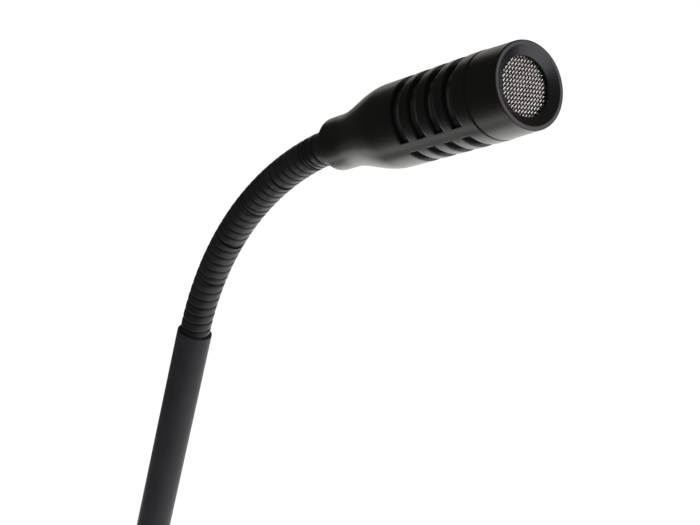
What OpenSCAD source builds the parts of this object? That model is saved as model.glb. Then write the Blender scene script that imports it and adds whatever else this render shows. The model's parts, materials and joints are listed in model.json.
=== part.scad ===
/* [Stand tube] */
// Outside diameter of the upright tube
tube_d = 10; // [9:0.1:12]
// Bore of the upright tube
tube_bore_d = 8.8; // [8.7:0.05:8.9]
// Height of the tube's upper end above the table
tube_top = 225; // [120:1:320]

/* [Gooseneck] */
// Outside diameter of the neck over its windings
neck_d = 8.6; // [8:0.05:8.65]
// Bore inside the windings, where the cable runs
neck_bore_d = 4.4; // [4:0.1:5]
// Free length from the tube to the head
neck_len = 87; // [60:1:140]
// Distance from one winding to the next
winding_pitch = 2.86; // [1.5:0.01:3]
// Bend of the stored shape next to the tube, in degrees per millimetre
bend_low = 0.70; // [0:0.01:0.8]
// Bend of the stored shape next to the head, in degrees per millimetre
bend_high = 0.46; // [0:0.01:0.8]
// Extra tilt of the head where the neck enters it, in degrees
head_kink = 4.8; // [0:0.1:8]
// Number of places where the neck turns, in turn up and down, then sideways
neck_joints = 11; // [11:1:11]
// Free gap between two sections of the neck
section_gap = 1.2; // [1.1:0.1:1.6]

/* [Head] */
// Length from the neck's last turn to the front of the head
head_len = 73.5; // [70:0.5:80]
// Diameter of the barrel
barrel_d = 19.8; // [19:0.1:20]
// Diameter of the collar at the rear of the head
collar_d = 13.1; // [12.8:0.1:14]
// Where the flare begins and where it ends
flare_start = 11.5; // [10:0.5:14]
flare_end = 30.5; // [28:0.5:32]
// Wall of the barrel
barrel_wall = 1.2; // [1:0.05:1.3]
// Middle of the first row of slots
slot_first = 40.7; // [39:0.1:42]
// Distance between two rows of slots
slot_pitch = 5.9; // [5.5:0.1:6]
// Width of a slot
slot_w = 3.1; // [2:0.05:3.2]
// Number of rows
slot_rows = 4; // [1:1:4]
// Width of the two lands between the slots, in degrees
land_angle = 17; // [10:1:40]
// Length of the front cap
cap_len = 9.5; // [9:0.1:10]
// Diameter of the front cap's rim
rim_d = 19.1; // [18.4:0.1:19.2]
// Opening in front of the wire mesh
mouth_d = 13; // [12:0.1:13.5]

/* [Base] */
// Width of the base
base_w = 100; // [96:1:130]
// Depth of the base
base_d = 130; // [126:1:160]
// How far the base reaches in front of the tube
base_front = 72; // [70:1:84]
// Corner radius of the base
base_corner = 14; // [10:1:16]
// Wall of the housing
base_wall = 2.5; // [2:0.1:3]
// Diameter of the talk button
button_d = 20; // [18:0.5:20]
// Travel of the talk button
button_travel = 1.5; // [1:0.1:1.6]
// Bore of the output socket
jack_bore_d = 3.6; // [3.6:0.1:3.6]

/* [Hidden] */
$fn = 64;
eps = 0.01;
aluminium_black = [0.09, 0.09, 0.10];
paint_black = [0.07, 0.07, 0.08];
winding_black = [0.12, 0.12, 0.13];
plastic_black = [0.10, 0.10, 0.11];
rubber_black = [0.05, 0.05, 0.05];
steel = [0.72, 0.73, 0.75];
brass = [0.78, 0.64, 0.34];
board_green = [0.06, 0.30, 0.16];

// The neck's centre line lies in the plane x = 0 and bends towards the front, -Y.
function total(v) = [for (i = v) 1] * v;
function bend_at(s) = bend_low * s + (bend_high - bend_low) * s * s / (2 * neck_len);
line_steps = 40;
function line_parts(s) = [for (i = [0.5:1:line_steps]) bend_at(s * i / line_steps)];
function line_point(s) = [
    0,
    -s / line_steps * total([for (a = line_parts(s)) sin(a)]),
    tube_top + s / line_steps * total([for (a = line_parts(s)) cos(a)])
];
function joint_s(k) = (k - 0.5) * neck_len / neck_joints;
head_angle = bend_at(neck_len) + head_kink;
head_base = line_point(neck_len);
function in_head(p) = head_base + [
    p[0],
    p[1] * cos(head_angle) - p[2] * sin(head_angle),
    p[1] * sin(head_angle) + p[2] * cos(head_angle)
];

// Lengths along the head are counted from the end of the bent neck. The neck runs on
// straight over the first of them, up to the rear face of the housing.
cap_start = head_len - cap_len;
barrel_r = barrel_d / 2;
barrel_bore_r = barrel_r - barrel_wall;
collar_r = collar_d / 2;
rear_face = 5.5;
rear_bore_r = 4.45;
rear_lip = 1.6;
shoulder_round = 1.2;
ferrule_r = 4.6;
ferrule_len = 13;
crimp_r = 3.6;
liner_wall = 0.4;
holder_r = 7.85;
capsule_r = 6.9;
capsule_len = 10;
mesh_depth = 1.9;
cone_depth = 1.2;
mesh_t = 0.55;
mesh_ring_t = 0.8;
cap_bore_r = 7.9;
spigot_len = 3.5;

// Heights in the base, from the table up.
pad_t = 2;
plate_t = 2;
plate_top = pad_t + plate_t;
ballast_t = 7;
board_z = 14;
board_t = 1.6;
board_top = board_z + board_t;
slab_top = 8;
edge_r = 8;
edge_in = 10;
front_edge_z = 16;
rear_edge_z = 26;
stem_boss_r = 13;
stem_boss_low = 25;
stem_boss_top = 32;
stem_hole_r = tube_d / 2 + 0.15;
washer_t = 1.2;
nut_t = 5;
tube_foot = stem_boss_low - washer_t - nut_t - 0.4;
button_y = -42;
button_boss_r = 15;
button_boss_low = 21;
button_boss_top = 27.4;
bezel_r = 11.5;
bezel_bore_r = button_d / 2 + 0.35;
bezel_flange_r = 13;
bezel_flange_t = 1.2;
button_low = 23.5;
button_top = 29.8;
plunger_top = 22;
led_y = -20;
led_r = 2;
lens_top = 28.5;
jack_x = 24;
jack_z = 15;
jack_seat_y = 56.4;
jack_nose_r = 3;
jack_tip_y = 59;
jack_depth = 15;
base_rear = base_d - base_front;
base_mid_y = (base_rear - base_front) / 2;
post_r = 4;
post_x = base_w / 2 - 12;
post_front_y = 12 - base_front;
post_rear_y = base_rear - 12;
post_places = [
    [post_x, post_front_y], [-post_x, post_front_y],
    [post_x, post_rear_y], [-post_x, post_rear_y]
];
pilot_r = 1.3;
board_w = 52;
board_front_y = -62;
board_rear_y = -16;
board_post_places = [[22, -58], [-22, -58], [22, -20], [-22, -20]];
board_post_r = 2.5;
board_pilot_r = 0.95;

// Puts its children on the head's axis, with +Z forwards and +Y on the head's upper side.
module on_head(along = 0) {
    translate(head_base) rotate([head_angle, 0, 0]) translate([0, 0, along]) children();
}

// Puts its children at the place s along the neck, with +Z along the straight line to the place e.
module on_neck(s, e) {
    from = line_point(s);
    way = line_point(e) - from;
    translate(from) rotate([atan2(-way[1], way[2]), 0, 0]) children();
}

module tube(r_out, r_in, h) {
    difference() {
        cylinder(r = r_out, h = h);
        translate([0, 0, -eps]) cylinder(r = r_in, h = h + 2 * eps);
    }
}

// Part of a ring, between two radii and two angles.
module ring_sector(r_in, r_out, h, from, sweep) {
    rotate([0, 0, from]) rotate_extrude(angle = sweep) translate([r_in, 0]) square([r_out - r_in, h]);
}

module hex_ring(flats, r_in, h) {
    difference() {
        cylinder(d = flats / cos(30), h = h, $fn = 6);
        translate([0, 0, -eps]) cylinder(r = r_in, h = h + 2 * eps);
    }
}

// Outline of one stretch of windings, from the bore out. Each winding is a low rounded hump.
function hump(turn, low, pitch) = [
    [neck_d / 2 - 0.45, low + turn * pitch + 0.02 * pitch],
    [neck_d / 2 - 0.12, low + turn * pitch + 0.16 * pitch],
    [neck_d / 2, low + turn * pitch + 0.38 * pitch],
    [neck_d / 2, low + turn * pitch + 0.62 * pitch],
    [neck_d / 2 - 0.12, low + turn * pitch + 0.84 * pitch],
    [neck_d / 2 - 0.45, low + turn * pitch + 0.98 * pitch]
];
function winding_outline(low, high) =
    let (turns = max(1, round((high - low) / winding_pitch)), pitch = (high - low) / turns)
    [for (t = [0:turns - 1]) for (p = hump(t, low, pitch)) p];
module windings(low, high) {
    rotate_extrude() polygon(concat(
        [[neck_bore_d / 2, low]], winding_outline(low, high), [[neck_bore_d / 2, high]]
    ));
}

// ---- head ----

// Outside radius of the head at the length q, from the collar over the flare to the barrel.
function flare_part(q) = min(1, max(0, (q - flare_start) / (flare_end - flare_start)));
function flare_r(q) = collar_r + (barrel_r - collar_r) * pow(flare_part(q), 2) * (3 - 2 * flare_part(q));
shoulder_steps = 6;
flare_steps = 12;
shoulder_outline = [for (i = [0:shoulder_steps]) [
    collar_r - shoulder_round * (1 - sin(90 * i / shoulder_steps)),
    rear_face + shoulder_round * (1 - cos(90 * i / shoulder_steps))
]];
flare_outline = [for (i = [0:flare_steps]) flare_start + (flare_end - flare_start) * i / flare_steps];

module head_housing() {
    groove = 0.3;
    color(aluminium_black) on_head() difference() {
        rotate_extrude() polygon(concat(
            [[rear_bore_r, rear_face]],
            shoulder_outline,
            [for (q = flare_outline) [flare_r(q), q]],
            [[barrel_r, cap_start - groove], [barrel_r - groove, cap_start]],
            [[barrel_bore_r, cap_start], [barrel_bore_r, flare_end]],
            [[ferrule_r, ferrule_len + 3], [ferrule_r, rear_face + rear_lip]],
            [[rear_bore_r, rear_face + rear_lip]]
        ));
        for (row = [0:slot_rows - 1]) for (side = [0, 180])
            translate([0, 0, slot_first + row * slot_pitch - slot_w / 2])
                ring_sector(barrel_bore_r - 1, barrel_r + 1, slot_w,
                    45 + land_angle / 2 + side, 180 - land_angle);
    }
}

module front_cap() {
    groove = 0.3;
    rear_r = barrel_r - 0.1;
    lip_rear = cap_len - mesh_depth;
    color(aluminium_black) on_head(cap_start) rotate_extrude() polygon([
        [cap_bore_r, -spigot_len], [barrel_bore_r, -spigot_len], [barrel_bore_r, 0],
        [rear_r - groove, 0], [rear_r, groove], [rim_d / 2 + 0.02, cap_len - 0.25],
        [rim_d / 2 - 0.25, cap_len], [rim_d / 2 - 0.9, cap_len],
        [mouth_d / 2, cap_len - cone_depth], [mouth_d / 2, lip_rear], [cap_bore_r, lip_rear]
    ]);
}

module front_mesh() {
    color(steel) on_head(head_len - mesh_depth - mesh_t) cylinder(r = cap_bore_r, h = mesh_t);
}

module mesh_ring() {
    color(plastic_black) on_head(head_len - mesh_depth - mesh_t - mesh_ring_t)
        tube(cap_bore_r, mouth_d / 2 + 0.3, mesh_ring_t);
}

module foam_disc() {
    foam_t = 4.6;
    color([0.08, 0.08, 0.08])
        on_head(head_len - mesh_depth - mesh_t - mesh_ring_t - foam_t) cylinder(r = cap_bore_r - 0.1, h = foam_t);
}

module acoustic_liner() {
    liner_start = slot_first - slot_w - 1;
    color([0.06, 0.06, 0.06]) on_head(liner_start)
        tube(barrel_bore_r, barrel_bore_r - liner_wall, cap_start - spigot_len - liner_start);
}

capsule_end = cap_start + 0.5;
capsule_start = capsule_end - capsule_len;
module capsule() {
    port_ring = 4;
    color(steel) on_head(capsule_start) difference() {
        cylinder(r = capsule_r, h = capsule_len);
        translate([0, 0, capsule_len - 0.6]) cylinder(r = 1, h = 1);
        for (i = [0:5]) rotate([0, 0, 60 * i]) translate([port_ring, 0, capsule_len - 0.6])
            cylinder(r = 0.6, h = 1);
    }
}

module capsule_holder() {
    floor_t = 2;
    color(rubber_black) on_head(capsule_start - floor_t) difference() {
        cylinder(r = holder_r, h = capsule_len + floor_t);
        translate([0, 0, floor_t]) cylinder(r = capsule_r, h = capsule_len + 1);
        translate([0, 0, -1]) cylinder(r = capsule_r - 2, h = floor_t + 2);
    }
}

board_start = 22;
board_end = 40;
module capsule_leads() {
    color([0.6, 0.1, 0.1]) for (side = [-1, 1]) on_head(board_end) translate([2 * side, 0, 0])
        cylinder(r = 0.4, h = capsule_start - board_end, $fn = 24);
}

module preamp_board() {
    color(board_green) on_head(board_start) translate([-6, -0.5, 0]) cube([12, 1, board_end - board_start]);
}

module preamp_components() {
    color([0.15, 0.15, 0.16]) on_head(board_start) {
        translate([-3, 0.5, 4]) cube([3, 1.2, 4]);
        translate([1.5, 0.5, 5]) cube([2, 1, 1.2]);
        translate([1.5, 0.5, 8]) cube([2, 1, 1.2]);
        translate([-2.2, 3, 12.5]) rotate([90, 0, 0]) cylinder(r = 1.8, h = 2.5);
    }
}

module head_ferrule() {
    start = rear_face + rear_lip;
    color(brass) on_head(start) tube(ferrule_r, crimp_r, ferrule_len - start);
}

// ---- neck ----

// The last windings, which lie on the head's axis and are crimped in its ferrule.
module neck_end() {
    low = joint_s(neck_joints) + section_gap / 2 - neck_len;
    mouth = rear_face + rear_lip - 0.1;
    color(winding_black) on_head() rotate_extrude() polygon(concat(
        [[neck_bore_d / 2, low]], winding_outline(low, mouth),
        [[crimp_r, mouth], [crimp_r, ferrule_len - 2], [neck_bore_d / 2, ferrule_len - 2]]
    ));
}

module neck_section(k) {
    reach = norm(line_point(joint_s(k + 1)) - line_point(joint_s(k)));
    color(winding_black) on_neck(joint_s(k), joint_s(k + 1)) windings(section_gap / 2, reach - section_gap / 2);
}

// The first windings, which stand in the tube and are crimped in its socket.
module neck_root() {
    crimp_low = -20;
    crimp_high = -5;
    high = joint_s(1) - section_gap / 2;
    color(winding_black) translate([0, 0, tube_top]) rotate_extrude() polygon(concat(
        [[neck_bore_d / 2, crimp_low], [crimp_r, crimp_low], [crimp_r, crimp_high]],
        winding_outline(crimp_high, high), [[neck_bore_d / 2, high]]
    ));
}

module neck_socket() {
    color(brass) translate([0, 0, tube_top - 20]) tube(tube_bore_d / 2, crimp_r, 14);
}

// ---- cable ----

cable_r = 1.3;
cable_turn_r = 4;
cable_low = board_z + 0.6;
connector_face = -10.5;
turn_steps = 6;
neck_steps = 22;
cable_route = concat(
    [[0, connector_face, cable_low], [0, -cable_turn_r - 2, cable_low]],
    [for (i = [0:turn_steps]) let (a = 90 * i / turn_steps)
        [0, -cable_turn_r * (1 - sin(a)), cable_low + cable_turn_r * (1 - cos(a))]],
    [[0, 0, tube_top / 3], [0, 0, 2 * tube_top / 3]],
    [for (i = [0:neck_steps]) line_point(neck_len * i / neck_steps)],
    [in_head([0, 0, 4]), in_head([0, 0, board_start / 2]), in_head([0, 0, board_start - 0.2])]
);

// A round tube along a route that never runs along X.
module swept_tube(route, r, sides) {
    n = len(route);
    function way(i) = let (w = route[min(n - 1, i + 1)] - route[max(0, i - 1)]) w / norm(w);
    function across(i) = let (w = way(i), a = [1, 0, 0] - w[0] * w) a / norm(a);
    rings = [for (i = [0:n - 1]) for (j = [0:sides - 1]) let (a = 360 * j / sides)
        route[i] + r * (cos(a) * across(i) + sin(a) * cross(across(i), way(i)))];
    walls = [for (i = [0:n - 2]) for (j = [0:sides - 1]) let (k = (j + 1) % sides)
        [i * sides + j, i * sides + k, (i + 1) * sides + k, (i + 1) * sides + j]];
    near_end = [for (j = [0:sides - 1]) sides - 1 - j];
    far_end = [for (j = [0:sides - 1]) (n - 1) * sides + j];
    polyhedron(rings, concat(walls, [near_end, far_end]));
}

module signal_cable() {
    color(rubber_black) swept_tube(cable_route, cable_r, 10);
}

// ---- stand tube ----

module stem_tube() {
    chamfer = 0.35;
    color(paint_black) rotate_extrude() polygon([
        [tube_bore_d / 2, tube_foot], [tube_d / 2, tube_foot], [tube_d / 2, tube_top - chamfer],
        [tube_d / 2 - chamfer, tube_top], [tube_bore_d / 2, tube_top]
    ]);
}

module stem_collar() {
    collar_h = 9;
    color(aluminium_black) translate([0, 0, stem_boss_top]) rotate_extrude() polygon([
        [tube_d / 2, 0], [11, 0], [11, 2.5], [10.4, 3.1], [8.2, 4.2],
        [7.2, 6], [6.9, collar_h - 0.6], [6.3, collar_h], [tube_d / 2, collar_h]
    ]);
}

module stem_washer() {
    color(steel) translate([0, 0, stem_boss_low - washer_t]) tube(10, tube_d / 2, washer_t);
}

module stem_nut() {
    color(brass) translate([0, 0, stem_boss_low - washer_t - nut_t]) hex_ring(16, tube_d / 2, nut_t);
}

// ---- base ----

module rounded_plate(w, d, r, h) {
    linear_extrude(h) {
        square([w - 2 * r, d], center = true);
        square([w, d - 2 * r], center = true);
        for (x = [-1, 1]) for (y = [-1, 1]) translate([x * (w / 2 - r), y * (d / 2 - r)]) circle(r);
    }
}

// The base's outer shape when inset is 0, or its hollow when inset is the wall.
module base_form(inset, low) {
    hull() {
        translate([0, base_mid_y, low])
            rounded_plate(base_w - 2 * inset, base_d - 2 * inset, base_corner - inset, slab_top - low, $fn = 32);
        for (x = [-1, 1]) {
            translate([x * (base_w / 2 - edge_in), edge_in - base_front, front_edge_z])
                sphere(edge_r - inset, $fn = 32);
            translate([x * (base_w / 2 - edge_in), base_rear - edge_in, rear_edge_z])
                sphere(edge_r - inset, $fn = 32);
        }
    }
}

module base_housing() {
    color(plastic_black) difference() {
        union() {
            base_form(0, pad_t);
            translate([0, 0, stem_boss_low]) cylinder(r = stem_boss_r, h = stem_boss_top - stem_boss_low);
            translate([0, button_y, button_boss_low])
                cylinder(r = button_boss_r, h = button_boss_top - button_boss_low);
        }
        difference() {
            base_form(base_wall, 0);
            for (p = post_places) translate([p[0], p[1], plate_top]) cylinder(r = post_r, h = 40);
            for (p = board_post_places) translate([p[0], p[1], board_top]) cylinder(r = board_post_r, h = 40);
            translate([0, 0, stem_boss_low]) cylinder(r = stem_boss_r, h = 20);
            translate([0, button_y, button_boss_low]) cylinder(r = button_boss_r, h = 20);
        }
        for (p = post_places) translate([p[0], p[1], 0]) cylinder(r = pilot_r, h = 13);
        for (p = board_post_places) translate([p[0], p[1], board_z]) cylinder(r = board_pilot_r, h = 6);
        translate([0, 0, 10]) cylinder(r = stem_hole_r, h = 40);
        translate([0, button_y, 17]) cylinder(r = bezel_r, h = 20);
        translate([0, led_y, 17]) cylinder(r = led_r, h = 20);
        translate([jack_x, jack_seat_y, jack_z]) rotate([-90, 0, 0]) cylinder(r = 6.5, h = 10);
        translate([jack_x, 50, jack_z]) rotate([-90, 0, 0]) cylinder(r = jack_nose_r + 0.2, h = 10);
    }
}

module base_plate() {
    gap = base_wall + 0.3;
    color(steel) translate([0, base_mid_y, 0]) difference() {
        translate([0, 0, pad_t]) rounded_plate(base_w - 2 * gap, base_d - 2 * gap, base_corner - gap, plate_t);
        for (p = post_places) translate([p[0], p[1] - base_mid_y, 0]) cylinder(r = 1.7, h = 10);
    }
}

module base_pad() {
    pad_in = 6;
    color(rubber_black) translate([0, base_mid_y, 0]) difference() {
        rounded_plate(base_w - 2 * pad_in, base_d - 2 * pad_in, base_corner - 4, pad_t);
        for (p = post_places) translate([p[0], p[1] - base_mid_y, -1]) cylinder(r = 3.6, h = pad_t + 2);
    }
}

module ballast_weight() {
    color([0.45, 0.46, 0.48]) translate([0, base_mid_y, plate_top])
        rounded_plate(2 * (post_x - post_r - 2), base_d - 26, 4, ballast_t);
}

module pan_screw(shank_r, shank_len, cap_r, cap_h) {
    difference() {
        union() {
            cylinder(r = shank_r, h = shank_len);
            translate([0, 0, -cap_h]) cylinder(r = cap_r, h = cap_h);
        }
        for (turn = [0, 90]) rotate([0, 0, turn])
            translate([-cap_r * 0.6, -cap_r * 0.11, -cap_h - eps]) cube([cap_r * 1.2, cap_r * 0.22, cap_h * 0.6]);
    }
}

module plate_screws() {
    color(steel) for (p = post_places) translate([p[0], p[1], pad_t]) pan_screw(1.25, 10, 2.8, 1.5);
}

module control_board() {
    color(board_green) difference() {
        translate([-board_w / 2, board_front_y, board_z])
            cube([board_w, board_rear_y - board_front_y, board_t]);
        for (p = board_post_places) translate([p[0], p[1], 10]) cylinder(r = 1.2, h = 10);
    }
}

module board_screws() {
    color(steel) for (p = board_post_places) translate([p[0], p[1], board_z]) pan_screw(0.9, 6, 1.9, 1.3);
}

module cable_connector() {
    color([0.85, 0.85, 0.8]) translate([-4, board_rear_y, cable_low - 2.5])
        cube([8, connector_face - board_rear_y, 5]);
}

module talk_switch() {
    side = 12;
    body_h = 4.4;
    color([0.16, 0.16, 0.17]) translate([0, button_y, board_top]) difference() {
        translate([-side / 2, -side / 2, 0]) cube([side, side, body_h]);
        translate([0, 0, 0.3]) cylinder(r = 2.1, h = body_h);
    }
}

module switch_plunger() {
    color([0.8, 0.2, 0.15]) translate([0, button_y, board_top + 0.3 + button_travel + 0.2])
        cylinder(r = 2, h = plunger_top - board_top - 0.5 - button_travel);
}

module talk_button() {
    dome = 0.9;
    wall = 1.6;
    button_r = button_d / 2;
    color(plastic_black) translate([0, button_y, 0]) {
        rotate_extrude() polygon(concat(
            [[0, plunger_top], [3, plunger_top], [3, button_top - dome - wall]],
            [[button_r - wall, button_top - dome - wall], [button_r - wall, button_low]],
            [[button_r, button_low], [button_r, button_top - dome]],
            [for (i = [1:8]) [button_r * cos(90 * i / 8), button_top - dome + dome * sin(90 * i / 8)]]
        ));
    }
}

module button_bezel() {
    bezel_low = 20.5;
    color(aluminium_black) translate([0, button_y, 0]) rotate_extrude() polygon([
        [bezel_bore_r, bezel_low], [bezel_r, bezel_low], [bezel_r, button_boss_top],
        [bezel_flange_r, button_boss_top], [bezel_flange_r, button_boss_top + bezel_flange_t - 0.5],
        [bezel_flange_r - 0.5, button_boss_top + bezel_flange_t],
        [bezel_bore_r, button_boss_top + bezel_flange_t]
    ]);
}

module status_led() {
    color([0.9, 0.2, 0.15]) translate([0, led_y, board_top]) cylinder(r = 1.5, h = 5);
}

module led_lens() {
    lens_low = board_top + 5;
    color([0.9, 0.25, 0.2, 0.8]) translate([0, led_y, lens_low]) rotate_extrude() polygon([
        [0, 0], [led_r, 0], [led_r, lens_top - lens_low - 0.4],
        [led_r - 0.4, lens_top - lens_low], [0, lens_top - lens_low]
    ]);
}

module output_jack() {
    body_start = 40;
    body_end = 54;
    color(plastic_black) difference() {
        union() {
            translate([jack_x - 7, body_start, jack_z - 4]) cube([14, body_end - body_start, 8]);
            translate([jack_x, body_end - 1, jack_z]) rotate([-90, 0, 0])
                cylinder(r = jack_nose_r, h = jack_tip_y - body_end + 1);
        }
        translate([jack_x, jack_tip_y - jack_depth, jack_z]) rotate([-90, 0, 0])
            cylinder(d = jack_bore_d, h = jack_depth + 1);
    }
}

module jack_nut() {
    color(steel) translate([jack_x, jack_seat_y, jack_z]) rotate([-90, 0, 0]) hex_ring(8, jack_nose_r, 2);
}

// The lead from the board to the socket, which passes beside the stem.
lead_r = 1;
lead_route = [[20, board_rear_y, cable_low], [22, -4, 12.8], [24, 30, 12.8], [24, 40, 14]];
module jack_lead() {
    color([0.12, 0.12, 0.12]) swept_tube(lead_route, lead_r, 8);
}

head_housing();
front_cap();
front_mesh();
mesh_ring();
foam_disc();
acoustic_liner();
capsule();
capsule_holder();
capsule_leads();
preamp_board();
preamp_components();
head_ferrule();
neck_end();
neck_section(1);  // neck_section_01
neck_section(2);  // neck_section_02
neck_section(3);  // neck_section_03
neck_section(4);  // neck_section_04
neck_section(5);  // neck_section_05
neck_section(6);  // neck_section_06
neck_section(7);  // neck_section_07
neck_section(8);  // neck_section_08
neck_section(9);  // neck_section_09
neck_section(10);  // neck_section_10
neck_root();
neck_socket();
signal_cable();
stem_tube();
stem_collar();
stem_washer();
stem_nut();
base_housing();
base_plate();
base_pad();
ballast_weight();
plate_screws();
control_board();
board_screws();
cable_connector();
talk_switch();
switch_plunger();
talk_button();
button_bezel();
status_led();
led_lens();
output_jack();
jack_nut();
jack_lead();
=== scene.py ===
"""Looks of a desktop gooseneck microphone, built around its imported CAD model. All lengths are in metres."""

import json
import math

import bmesh
import bpy
from mathutils import Matrix, Vector


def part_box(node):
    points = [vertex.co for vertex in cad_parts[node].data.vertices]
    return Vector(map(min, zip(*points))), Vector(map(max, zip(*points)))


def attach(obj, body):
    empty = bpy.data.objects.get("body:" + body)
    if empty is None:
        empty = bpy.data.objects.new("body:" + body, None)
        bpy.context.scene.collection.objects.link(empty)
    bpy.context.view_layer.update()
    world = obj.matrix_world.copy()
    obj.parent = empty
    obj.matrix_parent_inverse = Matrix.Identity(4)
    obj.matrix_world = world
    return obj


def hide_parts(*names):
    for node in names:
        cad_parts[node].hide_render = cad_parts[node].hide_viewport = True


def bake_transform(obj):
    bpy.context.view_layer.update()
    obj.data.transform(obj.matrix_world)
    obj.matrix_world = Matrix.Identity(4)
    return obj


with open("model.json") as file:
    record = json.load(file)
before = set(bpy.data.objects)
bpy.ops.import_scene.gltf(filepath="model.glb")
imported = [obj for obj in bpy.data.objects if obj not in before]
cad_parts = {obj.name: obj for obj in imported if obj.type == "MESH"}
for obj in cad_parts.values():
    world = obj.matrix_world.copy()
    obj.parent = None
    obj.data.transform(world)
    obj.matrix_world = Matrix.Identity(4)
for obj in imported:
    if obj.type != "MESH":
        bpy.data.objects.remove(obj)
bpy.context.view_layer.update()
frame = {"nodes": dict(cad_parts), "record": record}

MM = 0.001
X_AXIS = Vector((1, 0, 0))

# ---- driving dimensions, as in the CAD model ----

TUBE_R = 5.0 * MM
TUBE_BORE_R = 4.4 * MM
TUBE_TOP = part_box("stem_tube")[1].z
NECK_R = 4.3 * MM
NECK_BORE_R = 2.2 * MM
BALL_R = 3.75 * MM  # ball in a split joint of the neck, under the grooves
BALL_BORE_R = 2.4 * MM
BALL_HALF_LENGTH = 1.4 * MM
JOINT_CUT = math.tan(math.radians(4.7))  # half of a pitch joint's 9 degrees, and a little more
SIDE_ROOM = 0.8 * MM  # times JOINT_CUT, the room left on the axis itself
NECK_LENGTH = 87 * MM
WINDING_PITCH = 2.86 * MM
BEND_LOW = math.radians(0.70) / MM
BEND_HIGH = math.radians(0.46) / MM
HEAD_KINK = math.radians(4.8)
NECK_JOINTS = 11
CABLE_R = 1.3 * MM
HEAD_LENGTH = 73.5 * MM
BARREL_R = 9.9 * MM
BARREL_BORE_R = 8.7 * MM
COLLAR_R = 6.55 * MM
REAR_FACE = 5.5 * MM
SHOULDER_ROUND = 1.2 * MM
FLARE_START = 11.5 * MM
FLARE_END = 30.5 * MM
FERRULE_R = 4.6 * MM
REAR_BORE_R = 4.45 * MM
REAR_LIP = 1.6 * MM
FERRULE_LENGTH = 13 * MM
SLOT_FIRST = 40.7 * MM
SLOT_PITCH = 5.9 * MM
SLOT_WIDTH = 3.1 * MM
SLOT_ROWS = 4
LAND_MIDDLE = 45
LAND_ANGLE = 17
CAP_LENGTH = 9.5 * MM
CAP_START = HEAD_LENGTH - CAP_LENGTH
CAP_BORE_R = 7.9 * MM
SPIGOT = 3.5 * MM
RIM_R = 9.55 * MM
MOUTH_R = 6.5 * MM
MESH_DEPTH = 1.9 * MM
CONE_DEPTH = 1.2 * MM
MESH_THICKNESS = 0.55 * MM
MESH_PITCH = 0.64 * MM
WIRE_R = 0.135 * MM


# ---- the camera, at the photograph's viewing angle ----

CAMERA_FROM_TUBE_TOP = Vector((-205.2, -295.1, 198.3)) * MM
CAMERA_AZIMUTH = math.radians(40.90)
CAMERA_PITCH = math.radians(24.76)
CAMERA_ROLL = math.radians(14.67)
CAMERA_LENS = 72.95


def make_camera():
    camera = bpy.data.objects.new("camera", bpy.data.cameras.new("camera"))
    bpy.context.scene.collection.objects.link(camera)
    camera.data.lens = CAMERA_LENS
    camera.data.sensor_width = 36
    camera.data.clip_start = 0.01
    level = Vector((math.cos(CAMERA_AZIMUTH), -math.sin(CAMERA_AZIMUTH), 0))
    ahead = Vector((math.sin(CAMERA_AZIMUTH), math.cos(CAMERA_AZIMUTH), 0)) * math.cos(CAMERA_PITCH)
    ahead.z = -math.sin(CAMERA_PITCH)
    upright = level.cross(ahead)
    right = level * math.cos(CAMERA_ROLL) + upright * math.sin(CAMERA_ROLL)
    up = upright * math.cos(CAMERA_ROLL) - level * math.sin(CAMERA_ROLL)
    turn = Matrix((right, up, -ahead)).transposed().to_4x4()
    place = Vector((0, 0, TUBE_TOP)) + CAMERA_FROM_TUBE_TOP
    camera.matrix_world = Matrix.Translation(place) @ turn
    bpy.context.scene.camera = camera


# ---- the neck's centre line, in the plane x = 0 ----

LINE_STEP = 0.05 * MM
KINK_FROM = NECK_LENGTH - 3 * MM
KINK_TO = NECK_LENGTH + 1 * MM
LINE_END = NECK_LENGTH + 30 * MM


def neck_angle(s):
    """Tilt of the neck from the vertical at the length s."""
    inside = min(max(s, 0), NECK_LENGTH)
    angle = BEND_LOW * inside + (BEND_HIGH - BEND_LOW) * inside**2 / (2 * NECK_LENGTH)
    share = min(max((s - KINK_FROM) / (KINK_TO - KINK_FROM), 0), 1)
    return angle + HEAD_KINK * share * share * (3 - 2 * share)


def walk_neck():
    points = [Vector((0, 0, TUBE_TOP))]
    for i in range(round(LINE_END / LINE_STEP)):
        angle = neck_angle((i + 0.5) * LINE_STEP)
        points.append(points[-1] + Vector((0, -math.sin(angle), math.cos(angle))) * LINE_STEP)
    return points


NECK_LINE = walk_neck()


def neck_point(s):
    if s <= 0:
        return Vector((0, 0, TUBE_TOP + s))
    place = s / LINE_STEP
    low = min(int(place), len(NECK_LINE) - 2)
    return NECK_LINE[low].lerp(NECK_LINE[low + 1], place - low)


def straight_angle(s):
    """Tilt as the CAD model has it, with the kink all at the head."""
    return BEND_LOW * s + (BEND_HIGH - BEND_LOW) * s**2 / (2 * NECK_LENGTH)


def head_root():
    """The place where the neck enters the head."""
    steps = 400
    y = z = 0.0
    for i in range(steps):
        angle = straight_angle(NECK_LENGTH * (i + 0.5) / steps)
        y -= math.sin(angle) * NECK_LENGTH / steps
        z += math.cos(angle) * NECK_LENGTH / steps
    return Vector((0, y, TUBE_TOP + z))


HEAD_ANGLE = straight_angle(NECK_LENGTH) + HEAD_KINK
HEAD = Matrix.Translation(head_root()) @ Matrix.Rotation(HEAD_ANGLE, 4, "X")


# ---- materials ----


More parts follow.
